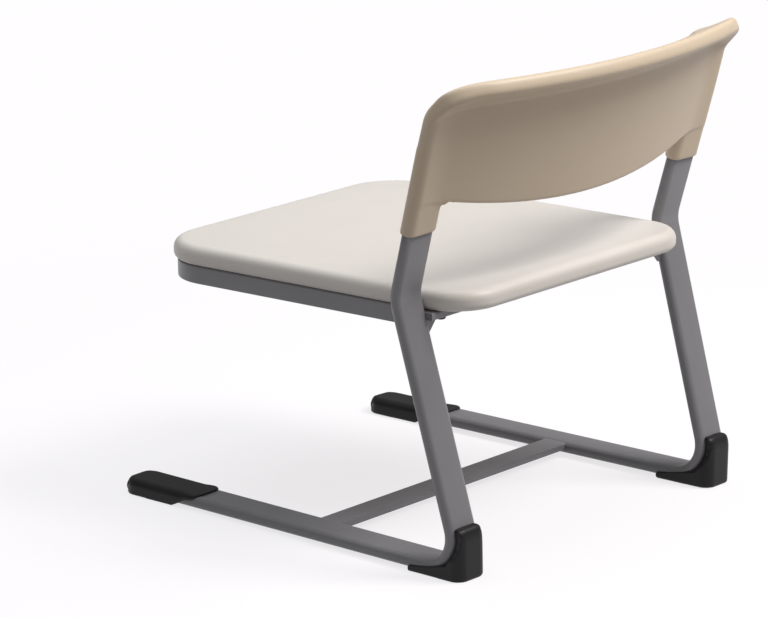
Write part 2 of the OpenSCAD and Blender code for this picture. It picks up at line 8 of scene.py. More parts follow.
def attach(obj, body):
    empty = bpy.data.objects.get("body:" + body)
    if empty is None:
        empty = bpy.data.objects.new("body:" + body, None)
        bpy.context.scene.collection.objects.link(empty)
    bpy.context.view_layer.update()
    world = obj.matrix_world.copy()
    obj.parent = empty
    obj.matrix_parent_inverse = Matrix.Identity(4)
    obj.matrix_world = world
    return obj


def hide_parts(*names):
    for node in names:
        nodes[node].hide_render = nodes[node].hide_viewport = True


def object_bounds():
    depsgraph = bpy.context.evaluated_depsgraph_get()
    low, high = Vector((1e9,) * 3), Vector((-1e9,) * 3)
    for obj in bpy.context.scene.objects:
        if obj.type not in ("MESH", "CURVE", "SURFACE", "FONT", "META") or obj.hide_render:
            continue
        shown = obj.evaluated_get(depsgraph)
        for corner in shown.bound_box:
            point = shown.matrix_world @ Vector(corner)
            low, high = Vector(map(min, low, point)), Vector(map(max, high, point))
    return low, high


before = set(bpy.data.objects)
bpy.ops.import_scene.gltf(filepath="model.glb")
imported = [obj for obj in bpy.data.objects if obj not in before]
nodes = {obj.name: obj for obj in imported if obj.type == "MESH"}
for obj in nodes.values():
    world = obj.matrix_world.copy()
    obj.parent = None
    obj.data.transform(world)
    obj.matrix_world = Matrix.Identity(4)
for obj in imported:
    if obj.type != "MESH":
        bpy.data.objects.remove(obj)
cad_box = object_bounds()

# The chair stands on z = 0 and faces -y, with its left at +x.
# Sizes of the CAD model, in metres and radians
TUBE_W, TUBE_T, TUBE_WALL = 0.041, 0.013, 0.002
FIT, SOLE_T, FOOT_WALL = 0.0002, 0.0025, 0.002
TRACK = 0.427
TOE = math.radians(1.15)
SPLAY = math.radians(1.7)
LEAN = math.radians(16.3)
POST = math.radians(14.9)
RUN_Z = SOLE_T + TUBE_T / 2
KINK_H = 0.287
R_KINK = 0.040
BASE_L, NOSE_T, NOSE_R = 0.477, 0.009, 0.018
RUN_END = BASE_L - NOSE_T
FOOT_W = TUBE_W + 2 * (FIT + FOOT_WALL)
SLEEVE_GAP, POST_GRIP = 0.071, 0.090
FRONT_REACH = (BASE_L - NOSE_R) * math.cos(TOE) + (FOOT_W / 2 - NOSE_R) * math.sin(TOE) + NOSE_R
BACK_Y = FRONT_REACH - cad_box[1][1]

# The photograph's bend at the floor, wider than the CAD model's
R_FLOOR = 0.035

KINK = np.array([-(KINK_H - RUN_Z) * math.tan(LEAN), KINK_H])
POST_DIR = np.array([math.sin(POST), math.cos(POST)])
SLEEVE_FOOT = KINK + SLEEVE_GAP / math.cos(POST) * POST_DIR
POST_TOP = SLEEVE_FOOT + POST_GRIP * POST_DIR
FLOOR_TAN = R_FLOOR / math.tan((math.pi / 2 - LEAN) / 2)
KINK_TAN = R_KINK * math.tan((LEAN + POST) / 2)
C_FLOOR = np.array([-FLOOR_TAN, RUN_Z + R_FLOOR])
C_KINK = (KINK + KINK_TAN * np.array([math.sin(LEAN), -math.cos(LEAN)])
          + R_KINK * np.array([math.cos(LEAN), math.sin(LEAN)]))

SEAT_H, SEAT_TILT, BAR_T, SEAT_GAP = 0.268, math.radians(-1.2), 0.008, 0.0015
REAR_BAR_X = (SEAT_H - BAR_T / 2 - RUN_Z) * math.tan(LEAN)
NOSE_X = TRACK / 2 + SEAT_H * math.sin(SPLAY) - REAR_BAR_X * math.sin(TOE) - TUBE_W / 2
SEAT_X, SEAT_D, SEAT_T, SEAT_BACK = NOSE_X - SEAT_GAP, 0.437, 0.022, 0.053


def mesh_object(name, verts, faces, smooth=True):
    me = bpy.data.meshes.new(name)
    me.from_pydata([tuple(map(float, v)) for v in verts], [], [tuple(map(int, f)) for f in faces])
    me.validate()
    me.update()
    ob = bpy.data.objects.new(name, me)
    bpy.context.scene.collection.objects.link(ob)
    me.polygons.foreach_set("use_smooth", [smooth] * len(me.polygons))
    return ob


def apply_modifiers(ob):
    dg = bpy.context.evaluated_depsgraph_get()
    dg.update()
    me = bpy.data.meshes.new_from_object(ob.evaluated_get(dg))
    ob.modifiers.clear()
    old = ob.data
    ob.data = me
    bpy.data.meshes.remove(old)
    return ob


def remesh(ob, voxel, rounds):
    """Join what a piece is made of into one skin, and ease its edges."""
    m = ob.modifiers.new("voxels", "REMESH")
    m.mode = "VOXEL"
    m.voxel_size = voxel
    m.use_smooth_shade = True
    ease = ob.modifiers.new("ease", "SMOOTH")
    ease.factor = 0.5
    ease.iterations = rounds
    return apply_modifiers(ob)


def cut_away(ob, cutters):
    for c in cutters:
        m = ob.modifiers.new("cut", "BOOLEAN")
        m.object = c
        m.operation = "DIFFERENCE"
        m.solver = "EXACT"
        apply_modifiers(ob)
        bpy.data.objects.remove(c)
    return ob


def loft(rings, closed_ends=True):
    """Vertices and faces through rings of equal length, each an array of points."""
    n = len(rings[0])
    last = (len(rings) - 1) * n
    faces = []
    for r in range(len(rings) - 1):
        for i in range(n):
            j = (i + 1) % n
            faces.append((r * n + i, r * n + j, (r + 1) * n + j, (r + 1) * n + i))
    if closed_ends:
        faces.append(tuple(range(n - 1, -1, -1)))
        faces.append(tuple(last + i for i in range(n)))
    return np.vstack(rings), faces


def placed(points, side):
    """From the side frame's plane (back, up, across) to the chair's frame."""
    p = np.asarray(points, float)
    u, v, w = p[..., 0], p[..., 1], p[..., 2]
    a = w * math.cos(SPLAY) + v * math.sin(SPLAY)
    x = a * math.cos(TOE) + u * math.sin(TOE) + TRACK / 2
    y = -a * math.sin(TOE) + u * math.cos(TOE) + BACK_Y
    return np.stack([side * x, y, v * math.cos(SPLAY) - w * math.sin(SPLAY)], -1)


def section_at(at, section, side):
    """A section (in the bend's plane, across) stood square to a side frame's path.

    at is (back, up, direction of the path).
    """
    u, v, d = at
    q = np.asarray(section)
    ring = [u - q[:, 0] * math.sin(d), v + q[:, 0] * math.cos(d), q[:, 1]]
    return placed(np.stack(ring, -1), side)


def on_seat(points):
    """From the seat's frame, at the middle of the rear bar, to the chair's frame."""
    p = np.asarray(points, float)
    c, s = math.cos(-SEAT_TILT), math.sin(-SEAT_TILT)
    y = p[..., 1] * c - p[..., 2] * s + BACK_Y - REAR_BAR_X
    z = p[..., 1] * s + p[..., 2] * c + SEAT_H
    return np.stack([p[..., 0], y, z], -1)


def flip_if(side, faces):
    """Faces of a mirrored piece, turned the right way out."""
    return [tuple(reversed(f)) for f in faces] if side < 0 else faces


def stadium(w, t, steps):
    """Points round a flat oval: (in the bend's plane, across)."""
    out = []
    for s, a0 in ((1, 0.0), (-1, math.pi)):
        for i in range(steps + 1):
            a = a0 + math.pi * i / steps
            out.append((t / 2 * math.cos(a), s * (w - t) / 2 + t / 2 * math.sin(a)))
    return np.array(out)


def smoothstep(t):
    t = np.clip(t, 0, 1)
    return t * t * (3 - 2 * t)


def quarter(r, d):
    """How far an edge rounded by r stands back at a distance d from where it starts."""
    return r - math.sqrt(max(r ** 2 - (r - min(d, r)) ** 2, 0.0))


def table(pairs, at):
    """The value at a place between the pairs of a table."""
    return float(np.interp(at, [p[0] for p in pairs], [p[1] for p in pairs]))


# Materials
def node(nt, kind, values=(), **settings):
    """A node with its settings, and its inputs' values by name."""
    n = nt.nodes.new(kind)
    for k, v in settings.items():
        setattr(n, k, v)
    for k, v in dict(values).items():
        n.inputs[k].default_value = v
    return n


def material(name, colour, roughness, grain, grain_scale=900.0, metallic=0.0,
             specular=0.5, mottle=0.03, wear=0.0, bump=0.00002):
    """A finish with slow colour drift, fine grain in bump and roughness, and worn edges."""
    m = bpy.data.materials.new(name)
    m.use_nodes = True
    nt = m.node_tree
    link = nt.links.new
    b = nt.nodes["Principled BSDF"]
    b.inputs["Metallic"].default_value = metallic
    b.inputs["Specular IOR Level"].default_value = specular
    tex = node(nt, "ShaderNodeTexCoord")
    drift = node(nt, "ShaderNodeTexNoise", {"Scale": 18.0, "Detail": 3.0})
    link(tex.outputs["Object"], drift.inputs["Vector"])
    ramp = node(nt, "ShaderNodeMapRange", {"From Min": 0.3, "From Max": 0.7,
                                           "To Min": 1.0 - mottle, "To Max": 1.0 + mottle})
    link(drift.outputs["Fac"], ramp.inputs["Value"])
    tint = node(nt, "ShaderNodeVectorMath", operation="SCALE")
    tint.inputs[0].default_value = colour
    link(ramp.outputs["Result"], tint.inputs["Scale"])
    colour_out = tint.outputs["Vector"]
    if wear:
        geo = node(nt, "ShaderNodeNewGeometry")
        pointy = node(nt, "ShaderNodeMapRange", {"From Min": 0.52, "From Max": 0.62,
                                                 "To Max": wear})
        link(geo.outputs["Pointiness"], pointy.inputs["Value"])
        worn = [min(1.0, c * 1.35 + 0.03) for c in colour]
        mix = node(nt, "ShaderNodeMix", data_type="RGBA")
        mix.inputs["B"].default_value = (*worn, 1.0)
        link(pointy.outputs["Result"], mix.inputs["Factor"])
        link(colour_out, mix.inputs["A"])
        colour_out = mix.outputs["Result"]
    link(colour_out, b.inputs["Base Color"])
    fine = node(nt, "ShaderNodeTexNoise", {"Scale": grain_scale, "Detail": 4.0, "Roughness": 0.6})
    link(tex.outputs["Object"], fine.inputs["Vector"])
    rough = node(nt, "ShaderNodeMapRange", {"From Min": 0.3, "From Max": 0.7,
                                            "To Min": roughness - 0.05,
                                            "To Max": roughness + 0.05})
    link(fine.outputs["Fac"], rough.inputs["Value"])
    link(rough.outputs["Result"], b.inputs["Roughness"])
    height = node(nt, "ShaderNodeBump", {"Strength": grain, "Distance": bump})
    link(fine.outputs["Fac"], height.inputs["Height"])
    link(height.outputs["Normal"], b.inputs["Normal"])
    return m


def mixed(nt, share, first, second):
    """The output of a mix of two shaders."""
    m = node(nt, "ShaderNodeMixShader")
    for source, socket in zip((share, first, second), m.inputs):
        nt.links.new(source, socket)
    return m.outputs[0]


SEAT_PLASTIC = material("seat_plastic", (0.685, 0.645, 0.605), 0.42, grain=0.5,
                        grain_scale=1400, mottle=0.012, specular=0.45)
# The back's plastic is darker than the seat's. It is its own warmer tone with painted shade
# added, because its rear face turns away from the light above.
BACK_PLASTIC_SHADED = material("back_plastic_shaded", (0.615, 0.50, 0.375), 0.44, grain=0.5,
                        grain_scale=1400, mottle=0.012, specular=0.4)
PAINT = material("frame_paint", (0.205, 0.20, 0.215), 0.36, grain=0.35, grain_scale=500,
                 bump=0.00004, mottle=0.04, wear=0.25)
FOOT_PLASTIC = material("foot_plastic", (0.011, 0.010, 0.012), 0.46, grain=0.6,
                        mottle=0.15, specular=0.26, wear=0.4)
BLACK_STEEL = material("black_steel", (0.012, 0.012, 0.013), 0.45, grain=0.3,
                       mottle=0.1, specular=0.3)
PLUG_PLASTIC = material("plug_plastic", (0.03, 0.03, 0.032), 0.5, grain=0.5)
RIVET_STEEL = material("rivet_steel", (0.55, 0.55, 0.56), 0.35, metallic=1.0, grain=0.3)
BRASS = material("insert_brass", (0.62, 0.45, 0.18), 0.32, metallic=1.0, grain=0.3)


def finish_as(ob, mat):
    ob.data.materials.clear()
    ob.data.materials.append(mat)
    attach(ob, "root")


def dress_node(name, mat):
    """Give a piece of the CAD model its finish."""
    ob = nodes[name]
    if ob.material_slots:
        for s in ob.material_slots:
            s.link = "OBJECT"
            s.material = mat
    else:
        ob.data.materials.append(mat)


# Side frames
def tube_stations():
    """(back, up, direction) along a side frame's path, from the runner's front end."""
    st = [(-RUN_END, RUN_Z, 0.0)]
    for k in range(1, 8):
        st.append((-RUN_END + (RUN_END - FLOOR_TAN) * k / 8, RUN_Z, 0.0))
    n = 36
    for i in range(n + 1):
        a = -math.pi / 2 + (math.pi / 2 + LEAN) * i / n
        st.append((C_FLOOR[0] + R_FLOOR * math.cos(a), C_FLOOR[1] + R_FLOOR * math.sin(a),
                   a + math.pi / 2))
    n = 18
    arc = []
    for i in range(n + 1):
        a = math.pi + LEAN - (LEAN + POST) * i / n
        arc.append((C_KINK[0] + R_KINK * math.cos(a), C_KINK[1] + R_KINK * math.sin(a),
                    a - math.pi / 2))
    a0, a1 = np.array(st[-1]), np.array(arc[0])
    for k in range(1, 8):
        st.append(tuple(a0 + (a1 - a0) * k / 8))
    st += arc
    st.append((POST_TOP[0], POST_TOP[1], math.pi / 2 - POST))
    return st


STATIONS = tube_stations()
TUBE_STEPS = 20


def tube_rings(side, grow=0.0):
    q = stadium(TUBE_W + 2 * grow, TUBE_T + 2 * grow, TUBE_STEPS)
    return [section_at(at, q, side) for at in STATIONS]


def tube(side, name):
    outer, f_out = loft(tube_rings(side), False)
    inner, f_in = loft(tube_rings(side, -TUBE_WALL), False)
    k, n = len(outer), 2 * (TUBE_STEPS + 1)
    last = k - n
    faces = list(f_out) + [tuple(k + i for i in reversed(f)) for f in f_in]
    for i in range(n):
        j = (i + 1) % n
        faces.append((j, i, k + i, k + j))
        faces.append((last + i, last + j, k + last + j, k + last + i))
    return mesh_object(name, np.vstack([outer, inner]), flip_if(side, faces))


SIDES = ((1, "left"), (-1, "right"))
for side, nm in SIDES:
    frame_tube = tube(side, "tube_" + nm)
    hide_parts("side_frame_" + nm)
    finish_as(frame_tube, PAINT)


# Seat
SEAT_FRONT = SEAT_D - SEAT_BACK
CORNER_FRONT, CORNER_BACK = 0.065, 0.053
EDGE_BOTTOM, EDGE_TOP = SEAT_T * 0.34, SEAT_T * 0.5
CORNER_STEPS = 14
SEAT_MIDDLE, MIDDLE_GROW = 0.19, 0.10
DISH, DISH_X, DISH_FRONT, DISH_BACK = 0.003, 0.13, 0.15, 0.13


def seat_outline(inset, grow=0.0):
    """The seat's outline from above, with even points along the straights."""
    a = max(CORNER_FRONT - inset, 0.004) + grow
    b = max(CORNER_BACK - inset, 0.004) + grow
    x, yf, yb = SEAT_X - inset, SEAT_FRONT - inset, SEAT_BACK - inset
    a, b = min(a, x, (yf + yb) / 2), min(b, x, (yf + yb) / 2)
    pts = []
    for cx, cy, r, a0 in ((x - b, yb - b, b, 0), (-x + b, yb - b, b, 90),
                          (-x + a, -yf + a, a, 180), (x - a, -yf + a, a, 270)):
        for i in range(CORNER_STEPS + 1):
            t = math.radians(a0 + 90 * i / CORNER_STEPS)
            pts.append((cx + r * math.cos(t), cy + r * math.sin(t)))
    out = []
    for i, p in enumerate(pts):
        q = pts[(i + 1) % len(pts)]
        out.append(p)
        if i % (CORNER_STEPS + 1) == CORNER_STEPS:
            for k in range(1, 10):
                out.append((p[0] + (q[0] - p[0]) * k / 10, p[1] + (q[1] - p[1]) * k / 10))
    return np.array(out)


def seat_top(q):
    """Height of the top at points of an outline: flat with a shallow dish."""
    gx = smoothstep((SEAT_X - EDGE_TOP - np.abs(q[:, 0])) / DISH_X)
    gy = (smoothstep((q[:, 1] + SEAT_FRONT - EDGE_TOP) / DISH_FRONT)
          * smoothstep((SEAT_BACK - EDGE_TOP - q[:, 1]) / DISH_BACK))
    return SEAT_T - DISH * gx * gy


def seat():
    """Rings from the middle of the underside, round the edge, to the middle of the top."""
    rings = []
    for inset in (0.15, 0.10, 0.05, 0.02):
        q = seat_outline(inset)
        rings.append(np.column_stack([q, np.zeros(len(q))]))
    for i in range(9):
        a = math.pi / 2 * i / 8
        q = seat_outline(EDGE_BOTTOM * (1 - math.sin(a)))
        rings.append(np.column_stack([q, np.full(len(q), EDGE_BOTTOM * (1 - math.cos(a)))]))
    for i in range(13):
        a = math.pi / 2 * i / 12
        q = seat_outline(EDGE_TOP * (1 - math.cos(a)))
        rings.append(np.column_stack([q, np.full(len(q), SEAT_T - EDGE_TOP * (1 - math.sin(a)))]))
    for k in range(1, 25):
        q = seat_outline(EDGE_TOP + (SEAT_MIDDLE - EDGE_TOP) * k / 24, MIDDLE_GROW * k / 24)
        rings.append(np.column_stack([q, seat_top(q)]))
    verts, faces = loft([on_seat(r) for r in rings])
    return mesh_object("seat_shell", verts, faces)


# Recesses underneath, where the two walls are welded together, and the inserts' holes
PAD_L, PAD_W, PAD_DEPTH = 0.066, 0.015, SEAT_T * 0.35
PAD_PITCH_X, PAD_PITCH_Y = 0.092, 0.062
PADS_Y = -(SEAT_D - 2 * SEAT_BACK) / 2
HOLE_R, HOLE_DEPTH, UNDER = 0.00415, 0.01215, -0.004
RAIL_IN, RAIL_W, TAB_L, TAB_HOLE, TAB_BACK = 0.004, 0.020, 0.028, 0.54, 0.082
SCREW_IN, SCREW_BACK = 0.026, 0.002
RAIL_X = SEAT_X - RAIL_IN
TAB_Y = SEAT_D - SEAT_BACK - RAIL_IN - TAB_BACK
SCREWS = [(NOSE_X - SCREW_IN, SCREW_BACK), (RAIL_X - RAIL_W - TAB_L * TAB_HOLE, -TAB_Y)]


def seat_cutter():
    cutters = []
    for i in (-1, 0, 1):
        for j in (-1, 0, 1):
            ring = [(q[1] + i * PAD_PITCH_X, -q[0] + PADS_Y + j * PAD_PITCH_Y)
                    for q in stadium(PAD_L, PAD_W, 16)]
            cutters.append((ring, PAD_DEPTH))
    for s in (-1, 1):
        for x, y in SCREWS:
            ring = [(s * x + HOLE_R * math.cos(a), y + HOLE_R * math.sin(a))
                    for a in np.linspace(0, 2 * math.pi, 33)[:-1]]
            cutters.append((ring, HOLE_DEPTH))
    verts, faces, base = [], [], 0
    for ring, depth in cutters:
        v, f = loft([on_seat([(x, y, z) for x, y in ring]) for z in (UNDER, depth)])
        verts.append(v)
        faces += [tuple(base + i for i in t) for t in f]
        base += len(v)
    return mesh_object("seat_cutter", np.vstack(verts), faces, False)


seat_ob = cut_away(seat(), [seat_cutter()])
seat_ob.data.set_sharp_from_angle(angle=math.radians(35))
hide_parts("seat")
finish_as(seat_ob, SEAT_PLASTIC)


# Backrest. Heights are along the post from the sleeve's foot, x is across. The lip, the upper
# corners and the notches are fitted to the photograph.
BACK_WALL, PANEL_T, PANEL_IN = 0.0025, 0.012, 0.044
END_LEAST, EDGE_SHARE = 0.05, 0.8


def sleeve_x(at):
    return TRACK / 2 + at[1] * math.sin(SPLAY) + at[0] * math.sin(TOE)


SLEEVE_W = TUBE_W + 2 * (FIT + BACK_WALL)
SLEEVE_T = TUBE_T + 2 * (FIT + BACK_WALL)
HALF_T = SLEEVE_T / 2
BACK_X = sleeve_x(POST_TOP) + SLEEVE_W / 2
COL_X = sleeve_x(SLEEVE_FOOT) - SLEEVE_W / 2
FAN = math.tan(SPLAY) / (TRACK / 2)
PANEL_X = COL_X - PANEL_IN
PANEL_FRONT = PANEL_T - HALF_T
BOW, BOW_X, SOFT = 0.036, COL_X + 0.018, 0.10
RISE, LIP_BEND, LIP_TURN, LIP_RUN, LIP_R = 0.1358, 0.0195, math.radians(52), 0.0262, 0.0085
LIP_FADE, LIP_SQUARE, LIP_SHORT = 0.75, 0.7, 0.9
TOP_R, TOP_DROP = 0.055, 0.018
NOTCH_H, BELLY, NOTCH_R = 0.0305, 0.0195, 0.005
NOTCH_X = COL_X + 0.0062
NOTCH_Z = SLEEVE_FOOT[1] + NOTCH_H
BELLY_R = COL_X ** 2 / (2 * BELLY)


def bow(x):
    """How far the panel stands back of the posts."""
    t = 1 - (x / BOW_X) ** 2
    return BOW * (t + math.sqrt(t * t + SOFT * SOFT)) / 2


def end_round(a, r):
    """1 inside, and falling to 0 along a quarter circle at the back's end."""
    return math.sqrt(max(0.0, 1 - (min(max(a - BACK_X + r, 0) / r, 1)) ** 2))


def lower_edge(a):
    """Height along the post of the panel's lower edge at a distance from the middle."""
    z = NOTCH_Z - BELLY + BELLY_R - math.sqrt(BELLY_R ** 2 - a * a)
    if a > NOTCH_X - NOTCH_R:
        d = min(a - (NOTCH_X - NOTCH_R), NOTCH_R)
        z = min(z, NOTCH_Z - NOTCH_R + math.sqrt(max(NOTCH_R ** 2 - d * d, 0)))
    return (z - SLEEVE_FOOT[1]) / math.cos(POST)


# The lower edge over the sleeves, just above the notches
OVER_SLEEVE = (NOTCH_H + 0.001) / math.cos(POST)
EDGE_R = 0.0045


def back_ring(x):
    """The back's section at x, from the lower edge up its rear, over the lip and down."""
    a = abs(x)
    end = max(end_round(a, HALF_T), END_LEAST)
    corner = end_round(a, TOP_R)
    column = float(smoothstep((a - PANEL_X) / (COL_X - PANEL_X)))
    rear = HALF_T * end
    front = (PANEL_FRONT + (HALF_T + bow(x) - PANEL_FRONT) * column) * end
    rnd = (HALF_T + (LIP_R - HALF_T) * corner) * end
    turn, run = LIP_TURN * corner ** LIP_FADE, LIP_RUN * corner ** LIP_FADE
    rise = RISE - TOP_DROP * (1 - corner)
    y0 = SLEEVE_FOOT[0] * math.cos(TOE)
    low = lower_edge(a) if a < NOTCH_X else OVER_SLEEVE
    mid, half = (rear - front) / 2, (rear + front) / 2

    def at(s):
        return y0 + s * math.sin(POST), SLEEVE_FOOT[1] + s * math.cos(POST), POST

    def lip(t, r):
        y, z, _ = at(rise)
        b = POST + t
        return (y + LIP_BEND * (math.cos(POST) - math.cos(b)) + r * math.sin(b),
                z + LIP_BEND * (math.sin(b) - math.sin(POST)) + r * math.cos(b), b)

    def beside(p, off):
        y, z, d = p
        return (x, y + off * math.cos(d) + bow(x), z - off * math.sin(d))

    def round_off(s):
        return min(quarter(EDGE_R, max(s - low, 0.0)), EDGE_SHARE * half)

    def tip_point(share):
        """Round the lip's end, squarer than a half circle."""
        c, s = math.cos(math.pi * share), math.sin(math.pi * share)
        across = rnd * math.copysign(abs(c) ** LIP_SQUARE, c)
        along = rnd * LIP_SHORT * s ** LIP_SQUARE
        return beside(lip(turn, run + along), across)

    levels = [low + EDGE_R * (1 - math.cos(math.pi / 2 * k / 5)) for k in range(6)]
    levels += [low + EDGE_R + 0.006 * k for k in range(1, 5)]
    levels += [levels[-1] + (rise - levels[-1]) * k / 9 for k in range(1, 10)]
    up = [beside(at(s), mid + half - round_off(s)) for s in levels]
    down = [beside(at(s), mid - half + round_off(s)) for s in reversed(levels)]
    n = 12
    bend_up = [beside(lip(turn * i / n, 0), rear + (rnd - rear) * i / n) for i in range(1, n + 1)]
    nose = [tip_point(i / 20) for i in range(21)]
    bend_down = [beside(lip(turn * i / n, 0), -(front + (rnd - front) * i / n))
                 for i in range(n, 0, -1)]
    pts = np.array(up + bend_up + nose + bend_down + down)
    pts[:, 0] *= 1 + FAN * np.minimum(pts[:, 2] - POST_TOP[1], 0)
    pts[:, 1] += BACK_Y
    return pts


def post_rings(side, levels, section):
    """Sections round a post at levels above the sleeve's foot; section(level) gives each."""
    rings = []
    for s in levels:
        u, v = SLEEVE_FOOT + s * POST_DIR
        rings.append(section_at((u, v, math.pi / 2 - POST), section(s), side))
    return loft(rings)


# The sleeve's lower rim is drawn in a little: level, and how far
SLEEVE_RIM = {0.0: 0.0012, 0.0004: 0.0005, 0.0012: 0.0, 0.012: 0.0, 0.024: 0.0,
              POST_GRIP + 0.006: 0.0}
SOCKET_ROOM = 0.0004
VOXEL, EASE_ROUNDS, KEEP_FACES = 0.00115, 14, 0.4


def sleeve_section(level):
    shrink = 2 * SLEEVE_RIM[level]
    scale = np.array([(SLEEVE_T - shrink) / SLEEVE_T, (SLEEVE_W - shrink) / SLEEVE_W])
    return stadium(SLEEVE_W, SLEEVE_T, 24) * scale


def backrest():
    """The panel and its sleeves, joined into one skin."""
    xs = list(np.linspace(0, PANEL_X, 24)) + list(np.linspace(PANEL_X, NOTCH_X - NOTCH_R, 16)[1:])
    xs += [NOTCH_X - NOTCH_R + NOTCH_R * math.sin(math.radians(88 * i / 9)) for i in range(1, 10)]
    xs += list(np.linspace(NOTCH_X + 0.0002, BACK_X - HALF_T, 14))
    xs += [BACK_X - HALF_T + HALF_T * math.sin(math.radians(87 * i / 12)) for i in range(1, 13)]
    xs = [-x for x in reversed(xs[1:])] + xs
    verts, faces = loft([back_ring(x) for x in xs])
    for side, _ in SIDES:
        v, f = post_rings(side, SLEEVE_RIM, sleeve_section)
        faces += [tuple(len(verts) + i for i in t) for t in flip_if(side, f)]
        verts = np.vstack([verts, v])
    ob = mesh_object("back_shell", verts, faces)
    remesh(ob, VOXEL, EASE_ROUNDS)
    thin = ob.modifiers.new("thin", "DECIMATE")
    thin.ratio = KEEP_FACES
    apply_modifiers(ob)
    ob.data.polygons.foreach_set("use_smooth", [True] * len(ob.data.polygons))
    return ob


def socket_cutter():
    q = stadium(TUBE_W + 2 * SOCKET_ROOM, TUBE_T + 2 * SOCKET_ROOM, 24)
    verts, faces, base = [], [], 0
    for side, _ in SIDES:
        v, f = post_rings(side, (-0.01, POST_GRIP + 0.003), lambda level: q)
        verts.append(v)
        faces += [tuple(base + i for i in t) for t in flip_if(side, f)]
        base += len(v)
    return mesh_object("socket_cutter", np.vstack(verts), faces, False)


back_ob = cut_away(backrest(), [socket_cutter()])
back_ob.data.set_sharp_from_angle(angle=math.radians(50))
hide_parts("backrest")
finish_as(back_ob, BACK_PLASTIC_SHADED)


# Feet. Places are (back, up, across) in a side frame's plane.
FOOT_H = SOLE_T + TUBE_T + FIT + FOOT_WALL
FOOT_ROOM, FOOT_VOXEL = 0.0001, 0.0008
# The soles start below the floor and are cut off level with it
SOLE_LOW, SOLE_EDGE = -0.0012, 0.0036
# The rear foot at heights: the front of its sides, its rear, and half its width
HEEL_OUT, HEEL_R, HEEL_TOP, STRIP_TOP = 0.0058, 0.0125, 0.0555, 0.0119
HEEL_SIDE = [(0.0, -0.065), (0.0065, -0.065), (0.0088, -0.050), (STRIP_TOP, -0.0345),
             (0.0160, -0.0120), (0.0264, -0.0012), (0.035, 0.0026), (0.043, 0.0038),
             (0.050, 0.0026), (HEEL_TOP, -0.0015)]
HEEL_REAR = [(0.0, HEEL_OUT), (0.043, HEEL_OUT), (0.048, 0.0050), (0.0525, 0.0034),
             (0.0545, 0.0018), (HEEL_TOP, 0.0004)]
HEEL_HALF = [(0.0, FOOT_W / 2), (0.050, FOOT_W / 2), (0.0530, 0.0220), (0.0545, 0.0210),
             (HEEL_TOP, 0.0196)]
HEEL_LEVELS = [*np.linspace(0.0035, 0.0530, 46), 0.0539, 0.0547, 0.0552, HEEL_TOP]
CORE_SHARE, START_LIMIT = 0.7, 0.98
# The front foot's underside rises to a rounded tongue
CUT_START, TOE_END, TOE_LAST, TOE_END_R = -0.404, -0.3655, -0.3657, 0.014
TOE_TOP_R, TOE_DROP, TOE_EDGE_R, SOLE_R, CUT_R = 0.0085, 0.75, 0.0080, 0.003, 0.0005
TOE_CUT = [(CUT_START, 0.0), (-0.394, 0.0045), (-0.384, 0.0098), (-0.374, 0.0128),
           (TOE_END, 0.0148)]


def grown_tube(side):
    """A side tube with the feet's space round it."""
    verts, faces = loft(tube_rings(side, FOOT_ROOM))
    return mesh_object("tube_cutter", verts, flip_if(side, faces), False)


def level_cutter():
    """A block below the floor, to cut the soles level."""
    corners = ((-0.4, -0.4), (0.4, -0.4), (0.4, 0.4), (-0.4, 0.4))
    verts = [(x, y, z) for z in (-0.05, 0.0) for x, y in corners]
    faces = [(3, 2, 1, 0), (4, 5, 6, 7), (0, 1, 5, 4), (1, 2, 6, 5), (2, 3, 7, 6), (3, 0, 4, 7)]
    return mesh_object("floor_cutter", verts, faces, False)


def glide(name, side, rings, outward, rounds):
    """A foot from its rings, hollowed for the tube, with eased edges."""
    verts, faces = loft([placed(r, side) for r in rings])
    ob = mesh_object(name, verts, flip_if(outward, faces))
    cut_away(ob, [grown_tube(side), level_cutter()])
    return remesh(ob, FOOT_VOXEL, rounds)


def heel_section(v, inset):
    """One level of the rear foot seen from above, as points (back, across)."""
    rear, half = table(HEEL_REAR, v) - inset, table(HEEL_HALF, v) - inset
    side_u = table(HEEL_SIDE, v) + inset
    # The section ends within the tube
    if v < STRIP_TOP:
        core = side_u
    elif v < C_FLOOR[1]:
        core = C_FLOOR[0] + math.sqrt(R_FLOOR ** 2 - (v - C_FLOOR[1]) ** 2)
    else:
        core = -(v - RUN_Z) * math.tan(LEAN)
    flat = min((TUBE_W - TUBE_T) / 2, CORE_SHARE * half)
    start = math.asin(min(max((side_u - rear + HEEL_R) / HEEL_R, 0.0), START_LIMIT))
    pts = [(min(core, side_u), flat)]
    if side_u < rear - HEEL_R:
        pts.append((side_u, half))
    else:
        pts.append((side_u, half - HEEL_R + HEEL_R * math.cos(start)))
    for i in range(1, 14):
        a = start + (math.pi / 2 - start) * i / 13
        pts.append((rear - HEEL_R + HEEL_R * math.sin(a), half - HEEL_R + HEEL_R * math.cos(a)))
    pts += [(u, -w) for u, w in reversed(pts)]
    return np.array(pts)


def rear_glide(side, name):
    levels = []
    for k in range(7):
        a = math.pi / 2 * k / 6
        v = SOLE_LOW + SOLE_EDGE * (1 - math.cos(a))
        levels.append((v, heel_section(max(v, 0.0), SOLE_EDGE * (1 - math.sin(a)))))
    for v in HEEL_LEVELS:
        levels.append((v, heel_section(v, 0.0)))
    return glide(name, side, [np.insert(q, 1, v, axis=1) for v, q in levels], -side, 5)


